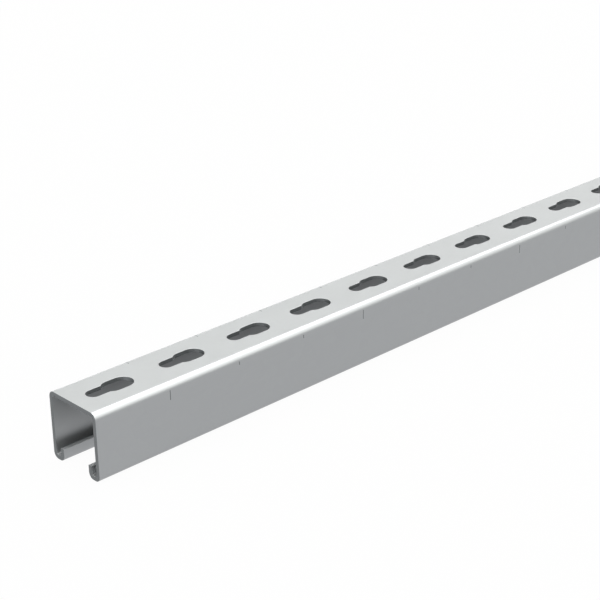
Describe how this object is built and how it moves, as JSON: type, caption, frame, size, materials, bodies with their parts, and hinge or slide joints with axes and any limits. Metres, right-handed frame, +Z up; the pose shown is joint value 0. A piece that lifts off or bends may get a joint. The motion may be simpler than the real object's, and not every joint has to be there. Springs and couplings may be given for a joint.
{
  "type": "slotted strut channel",
  "caption": "Cold-formed C-shaped strut channel with inturned lips and a row of keyhole slots along its back, a rail that channel nuts, bolts and brackets fasten to.",
  "frame": {"origin": "on the floor under the middle of the channel: centre of the bounding box's bottom face, on the undersides of the two lips", "axes": "+X along the channel, the way the wide heads of the keyholes point; +Y across it; +Z up, out of the back of the web, so the open side faces the floor"},
  "size_m": [2, 0.041, 0.041],
  "materials": {
    "galvanised_steel": "zinc-coated strip, satin, with a bare steel edge where it is cut"
  },
  "bodies": {
    "root": {"strut_channel": "galvanised_steel"}
  },
  "joints": []
}
